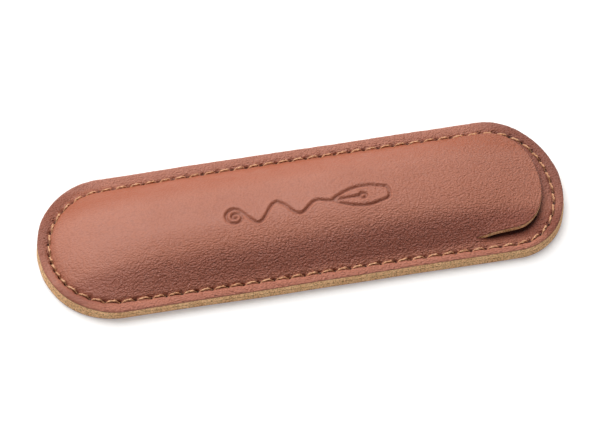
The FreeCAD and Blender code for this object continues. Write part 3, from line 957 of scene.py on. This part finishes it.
def grain_leather():
    """The smooth dyed side: pebbled grain, slow colour changes, painted shade in the needle holes,
    and painted shade and highlights on the dome and rims.
    """
    n = Nodes("grain_leather")
    place = n.attribute("rest", "Vector")
    along, across, height = n.split(place)
    painted_shade = n.attribute("painted_shade", "Fac")
    cloud = n.noise(place, 0.045, 3.0)
    mottle = n.noise(place, 0.5, 4.0, 0.6)
    speckle = n.noise(place, 3.2, 3.0, 0.6)
    cells = n.cells(n.squeezed(place, (0.85, 1.2, 1.0)), 1.85)
    fine = n.cells(place, 3.6)

    # The dye: two browns in slow clouds, worn paler and darker in small marks.
    colour = n.mix(n.remap(cloud, 0.35, 0.65), linear(167, 99, 75), linear(173, 106, 83))
    colour = n.mix(n.remap(mottle, 0.35, 0.7, 0.0, 0.22), colour, linear(186, 121, 97))
    colour = n.mix(n.remap(cells, 0.45, 0.85, 0.0, 0.22), colour, linear(122, 64, 47))
    colour = n.mix(n.remap(speckle, 0.55, 0.8, 0.0, 0.18), colour, linear(140, 80, 62))

    # Painted shade on the dome's far flank: a darker, more saturated band where it takes less sheen
    # than the crown.
    painted_far_flank_shade = n.both(n.remap(across, 6.5, 12.0), n.remap(across, 19.4, 18.2))
    raised = n.remap(height, 2.6, 3.1)
    drift = n.remap(n.noise(place, 0.08, 2.0), 0.3, 0.7, 0.6, 1.0)
    colour = n.mix(n.both(n.both(painted_far_flank_shade, raised), drift), colour, linear(158, 80, 46))

    # Painted shade on the near foot of the dome, and painted highlights that make the rims paler
    # than the dome. Neither on the underside.
    painted_near_foot_shade = n.both(n.remap(across, -9.5, -13.5), n.remap(across, -19.2, -17.8))
    painted_near_foot_shade = n.both(painted_near_foot_shade, n.remap(height, 1.6, 2.4, 0.0, 0.6))
    painted_near_foot_shade = n.both(painted_near_foot_shade, n.remap(along, -30.0, 20.0, 0.75, 1.0))
    # The near foot is painted darker: painted shade.
    colour = n.mix(painted_near_foot_shade, colour, linear(120, 51, 35))
    front = n.remap(height, 1.6, 2.4)
    painted_near_rim_highlight = n.both(n.remap(across, -19.6, -20.6, 0.0, 0.4), front)
    painted_far_rim_highlight = n.both(n.remap(across, 19.0, 19.8, 0.0, 0.15), front)
    # Painted highlights on the near and far rims.
    colour = n.mix(painted_near_rim_highlight, colour, linear(196, 124, 102))
    colour = n.mix(painted_far_rim_highlight, colour, linear(200, 146, 132))

    # Painted shade at the rim's two ends, with the lip's painted shadow at the mouth.
    colour = n.mix(painted_shade, colour, linear(118, 66, 56))
    # Painted shade in the needle holes and the ornament's pressed strokes.
    painted_pit_shade = n.remap(n.attribute("depth", "Fac"), 0.1, 0.65, 0.0, 0.9)
    colour = n.mix(painted_pit_shade, colour, linear(52, 23, 14))

    # The grain is coarser along the near foot, on the lip and on the rims.
    grain = n.math("ADD", n.math("MULTIPLY", cells, -1.0), n.math("MULTIPLY", fine, -0.4))
    grain = n.math("ADD", grain, n.math("MULTIPLY", speckle, 0.55))
    rim = n.remap(n.math("ABSOLUTE", across), 17.0, 20.0, 0.0, 0.9)
    end_rim = n.remap(painted_shade, 0.0, 0.4, 0.0, 0.9)
    coarse = n.both(n.remap(across, -3.0, -13.0), n.remap(along, -56.0, -34.0, 0.3, 1.0))
    coarse = n.either(coarse, n.remap(along, 5.0, 45.0, 0.0, 0.8))
    coarse = n.either(n.either(coarse, rim), end_rim)
    normal = n.bump(grain, 0.31, n.remap(coarse, 0.0, 1.0, 0.35, 1.0))
    normal = n.bump(mottle, 0.20, n.remap(coarse, 0.0, 1.0, 0.3, 0.6), normal)
    folds = n.noise(n.squeezed(place, (0.55, 1.9, 1.0)), 1.0, 3.0, 0.55)
    normal = n.bump(folds, 0.34, n.remap(across, -8.0, -14.0, 0.0, 0.5), normal)
    roughness = n.remap(mottle, 0.3, 0.75, 0.44, 0.58)
    return n.finish(colour, roughness, normal, specular=0.40)


def raw_edge():
    """The cut face: pale tan fibres, pressed together, with a faint glue line."""
    n = Nodes("raw_edge")
    place = n.attribute("rest", "Vector")
    height = n.split(place)[2]
    grit = n.noise(place, 2.3, 5.0, 0.7)
    fibres = n.noise(n.squeezed(place, (1.4, 1.4, 3.2)), 1.0, 4.0, 0.65)
    blotch = n.noise(place, 0.22, 3.0)
    colour = n.mix(n.remap(blotch, 0.35, 0.65), linear(252, 204, 154), linear(238, 186, 136))
    colour = n.mix(n.remap(grit, 0.45, 0.62, 0.0, 0.75), colour, linear(136, 92, 54))
    colour = n.mix(n.remap(fibres, 0.52, 0.70, 0.0, 0.6), colour, linear(255, 224, 172))
    waver = n.math("ADD", height, n.remap(blotch, 0.3, 0.7, -0.2, 0.2))
    off_glue = n.math("ABSOLUTE", n.math("SUBTRACT", waver, PLY))
    glue = n.both(n.remap(off_glue, 0.04, 0.22, 0.3, 0.0), n.remap(grit, 0.4, 0.6))
    colour = n.mix(glue, colour, linear(120, 84, 52))
    skin = n.remap(n.attribute("depth", "Fac"), 0.02, 0.09, 0.9, 0.0)
    colour = n.mix(skin, colour, linear(112, 56, 40))
    normal = n.bump(grit, 0.16, 0.9)
    normal = n.bump(fibres, 0.10, 0.7, normal)
    return n.finish(colour, 0.88, normal, specular=0.2)


def flesh_side():
    """The undyed side inside the case: a short suede nap."""
    n = Nodes("flesh_side")
    place = n.attribute("rest", "Vector")
    nap = n.noise(place, 2.4, 5.0, 0.7)
    patch = n.noise(place, 0.12, 3.0)
    base = n.mix(n.remap(patch, 0.35, 0.65), linear(170, 126, 94), linear(146, 104, 76))
    colour = n.mix(n.remap(nap, 0.4, 0.7, 0.0, 0.5), base, linear(108, 74, 52))
    normal = n.bump(nap, 0.15, 0.8)
    return n.finish(colour, 0.95, normal, specular=0.15)


def sewing_thread():
    """Waxed tan thread."""
    n = Nodes("sewing_thread")
    place = n.add("ShaderNodeTexCoord").outputs["Object"]
    fibre = n.noise(n.squeezed(place, (1 / MM, 1 / MM, 1 / MM)), 5.5, 4.0, 0.65)
    tint = n.attribute("tint", "Fac")
    base = n.mix(tint, linear(208, 152, 112), linear(226, 174, 134))
    colour = n.mix(n.remap(fibre, 0.45, 0.7, 0.0, 0.5), base, linear(160, 104, 66))
    normal = n.bump(fibre, 0.05, 0.8)
    return n.finish(colour, 0.5, normal, specular=0.35)


# ---------------------------------------------------------------- the pieces

leather = [grain_leather(), raw_edge(), flesh_side()]
thread = sewing_thread()
dome = make_dome(leather)
rim = make_rim(leather)
back = make_back(leather)


def front_surface(x, y):
    return valley_height(x, y) - THREAD_SUNK


def back_surface(x, y):
    return np.full(np.shape(x), THREAD_RECESS)


needle_stitches = make_stitches("needle_stitches", thread, front_surface, 1)
bobbin_stitches = make_stitches("bobbin_stitches", thread, back_surface, -1)

dome_normals, rim_normals = match_normals(dome, rim)
dome.data.normals_split_custom_set_from_vertices(dome_normals.tolist())
rim.data.normals_split_custom_set_from_vertices(rim_normals.tolist())

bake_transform(dome)
for piece in (rim, back, needle_stitches, bobbin_stitches):
    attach(piece, "pouch")
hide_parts("front_panel", "mouth_lip")
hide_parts("back_panel")
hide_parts("needle_thread")
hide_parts("bobbin_thread")


# ---------------------------------------------------------------- floor, light and camera

def make_floor():
    """A table that glows from below, more so far away, so that it stays white to the horizon."""
    mesh = bpy.data.meshes.new("floor")
    side = 3.0
    corners = [(-side, -side, 0), (side, -side, 0), (side, side, 0), (-side, side, 0)]
    mesh.from_pydata(corners, [], [(0, 1, 2, 3)])
    n = Nodes("light_table")
    away = n.add("ShaderNodeVectorMath", operation="LENGTH")
    n.link(n.add("ShaderNodeTexCoord").outputs["Object"], away.inputs[0])
    glow = n.remap(away.outputs["Value"], 0.2, 1.2, 0.32, 0.98)
    n.link(glow, n.shader.inputs["Emission Strength"])
    n.shader.inputs["Emission Color"].default_value = (1, 1, 1, 1)
    n.shader.inputs["Base Color"].default_value = (0.74, 0.74, 0.74, 1)
    n.shader.inputs["Roughness"].default_value = 0.95
    n.shader.inputs["Specular IOR Level"].default_value = 0.1
    mesh.materials.append(n.material)
    floor = bpy.data.objects.new("floor", mesh)
    floor.location.z = -0.2 * MM
    bpy.context.scene.collection.objects.link(floor)


def add_key_light():
    """A broad soft light, high behind the far side."""
    place = Vector((-0.14, 0.455, 0.775))
    data = bpy.data.lights.new("key", "AREA")
    data.size = 0.96
    data.energy = 14.4
    data.color = (1.0, 0.99, 0.98)
    lamp = bpy.data.objects.new("key", data)
    lamp.location = place
    lamp.rotation_euler = (-place).to_track_quat("-Z", "Y").to_euler()
    bpy.context.scene.collection.objects.link(lamp)


def add_world():
    """A studio that is pale low down and dim above, so that the key light makes the shape."""
    horizon, above = 0.9, 0.04
    world = bpy.data.worlds.new("studio")
    world.use_nodes = True
    tree = world.node_tree
    place = tree.nodes.new("ShaderNodeTexCoord")
    split = tree.nodes.new("ShaderNodeSeparateXYZ")
    fade = tree.nodes.new("ShaderNodeMapRange")
    fade.inputs["From Min"].default_value = 0.06
    fade.inputs["From Max"].default_value = 0.3
    fade.inputs["To Min"].default_value = horizon
    fade.inputs["To Max"].default_value = above
    tree.links.new(place.outputs["Generated"], split.inputs["Vector"])
    tree.links.new(split.outputs["Z"], fade.inputs["Value"])
    tree.links.new(fade.outputs["Result"], tree.nodes["Background"].inputs["Strength"])
    tree.nodes["Background"].inputs["Color"].default_value = (1, 1, 1, 1)
    bpy.context.scene.world = world


def add_camera():
    """Looks along the case from the near side, a little from the left, at 47 degrees."""
    data = bpy.data.cameras.new("camera")
    data.sensor_width = 36.0
    data.lens = 168.7
    data.clip_end = 20
    camera = bpy.data.objects.new("camera", data)
    looking = Vector((0.1401, 0.6695, -0.7295))
    target = Vector((0, 0, RIM_TOP * MM))
    distance = 0.697
    camera.location = target - looking * distance
    camera.rotation_mode = "QUATERNION"
    camera.rotation_quaternion = looking.to_track_quat("-Z", "Y")
    data.shift_x = -0.0031667
    data.shift_y = -0.0006667
    bpy.context.scene.collection.objects.link(camera)
    bpy.context.scene.camera = camera


make_floor()
add_world()
add_key_light()
add_camera()
bpy.context.scene.view_settings.view_transform = "Standard"
